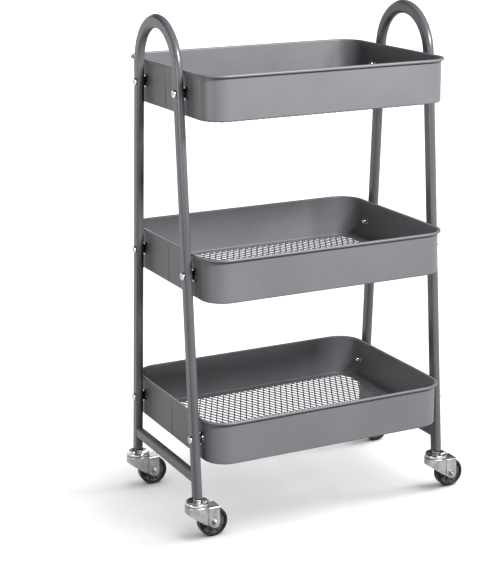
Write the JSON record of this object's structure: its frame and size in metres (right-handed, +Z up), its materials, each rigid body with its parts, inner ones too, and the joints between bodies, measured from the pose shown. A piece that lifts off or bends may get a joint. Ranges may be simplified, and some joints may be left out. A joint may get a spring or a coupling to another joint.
{
  "type": "rolling utility cart",
  "caption": "Rolling utility cart: stacked deep trays with rounded corners and expanded-mesh floors, held between arched tube frames, on swivel casters.",
  "frame": {"origin": "middle of the frame in plan, at floor level", "axes": "+X runs along the trays to the right end, +Y to the back, +Z up"},
  "size_m": [0.5321, 0.335, 0.844],
  "materials": {
    "grey_coat": "satin powder coat",
    "zinc_plate": "bright zinc plate",
    "black_plastic": "moulded, satin"
  },
  "bodies": {
    "cart": {"left_frame": "grey_coat", "right_frame": "grey_coat", "left_cross_bar": "grey_coat", "right_cross_bar": "grey_coat", "leg_plugs": "black_plastic", "top_tray": "grey_coat", "middle_tray": "grey_coat", "bottom_tray": "grey_coat", "top_mesh": "grey_coat", "middle_mesh": "grey_coat", "bottom_mesh": "grey_coat", "top_screws": "zinc_plate", "middle_screws": "zinc_plate", "bottom_screws": "zinc_plate", "top_spacers": "black_plastic", "middle_spacers": "black_plastic", "bottom_spacers": "black_plastic", "top_washers": "zinc_plate", "middle_washers": "zinc_plate", "bottom_washers": "zinc_plate", "top_nuts": "zinc_plate", "middle_nuts": "zinc_plate", "bottom_nuts": "zinc_plate", "front_left_stem": "zinc_plate", "front_left_race": "zinc_plate", "front_right_stem": "zinc_plate", "front_right_race": "zinc_plate", "rear_left_stem": "zinc_plate", "rear_left_race": "zinc_plate", "rear_right_stem": "zinc_plate", "rear_right_race": "zinc_plate"},
    "front_left_caster": {"front_left_balls": "zinc_plate", "front_left_fork": "zinc_plate", "front_left_axle": "zinc_plate", "front_left_axle_nut": "zinc_plate", "front_left_bush": "zinc_plate"},
    "front_left_wheel": {"front_left_wheel": "black_plastic"},
    "front_right_caster": {"front_right_balls": "zinc_plate", "front_right_fork": "zinc_plate", "front_right_axle": "zinc_plate", "front_right_axle_nut": "zinc_plate", "front_right_bush": "zinc_plate"},
    "front_right_wheel": {"front_right_wheel": "black_plastic"},
    "rear_left_caster": {"rear_left_balls": "zinc_plate", "rear_left_fork": "zinc_plate", "rear_left_axle": "zinc_plate", "rear_left_axle_nut": "zinc_plate", "rear_left_bush": "zinc_plate"},
    "rear_left_wheel": {"rear_left_wheel": "black_plastic"},
    "rear_right_caster": {"rear_right_balls": "zinc_plate", "rear_right_fork": "zinc_plate", "rear_right_axle": "zinc_plate", "rear_right_axle_nut": "zinc_plate", "rear_right_bush": "zinc_plate"},
    "rear_right_wheel": {"rear_right_wheel": "black_plastic"}
  },
  "joints": [
    {"name": "front_left_swivel", "type": "hinge", "parent": "cart", "child": "front_left_caster", "pos_m": [-0.2303, -0.12516, 0.057], "axis": [0, 0, 1], "continuous": true},
    {"name": "front_left_spin", "type": "hinge", "parent": "front_left_caster", "child": "front_left_wheel", "pos_m": [-0.2043, -0.12516, 0.025], "axis": [0, 1, 0], "continuous": true},
    {"name": "front_right_swivel", "type": "hinge", "parent": "cart", "child": "front_right_caster", "pos_m": [0.2303, -0.12516, 0.057], "axis": [0, 0, 1], "continuous": true},
    {"name": "front_right_spin", "type": "hinge", "parent": "front_right_caster", "child": "front_right_wheel", "pos_m": [0.2563, -0.12516, 0.025], "axis": [0, 1, 0], "continuous": true},
    {"name": "rear_left_swivel", "type": "hinge", "parent": "cart", "child": "rear_left_caster", "pos_m": [-0.2303, 0.12516, 0.057], "axis": [0, 0, 1], "continuous": true},
    {"name": "rear_left_spin", "type": "hinge", "parent": "rear_left_caster", "child": "rear_left_wheel", "pos_m": [-0.2043, 0.12516, 0.025], "axis": [0, 1, 0], "continuous": true},
    {"name": "rear_right_swivel", "type": "hinge", "parent": "cart", "child": "rear_right_caster", "pos_m": [0.2303, 0.12516, 0.057], "axis": [0, 0, 1], "continuous": true},
    {"name": "rear_right_spin", "type": "hinge", "parent": "rear_right_caster", "child": "rear_right_wheel", "pos_m": [0.2563, 0.12516, 0.025], "axis": [0, 1, 0], "continuous": true}
  ]
}
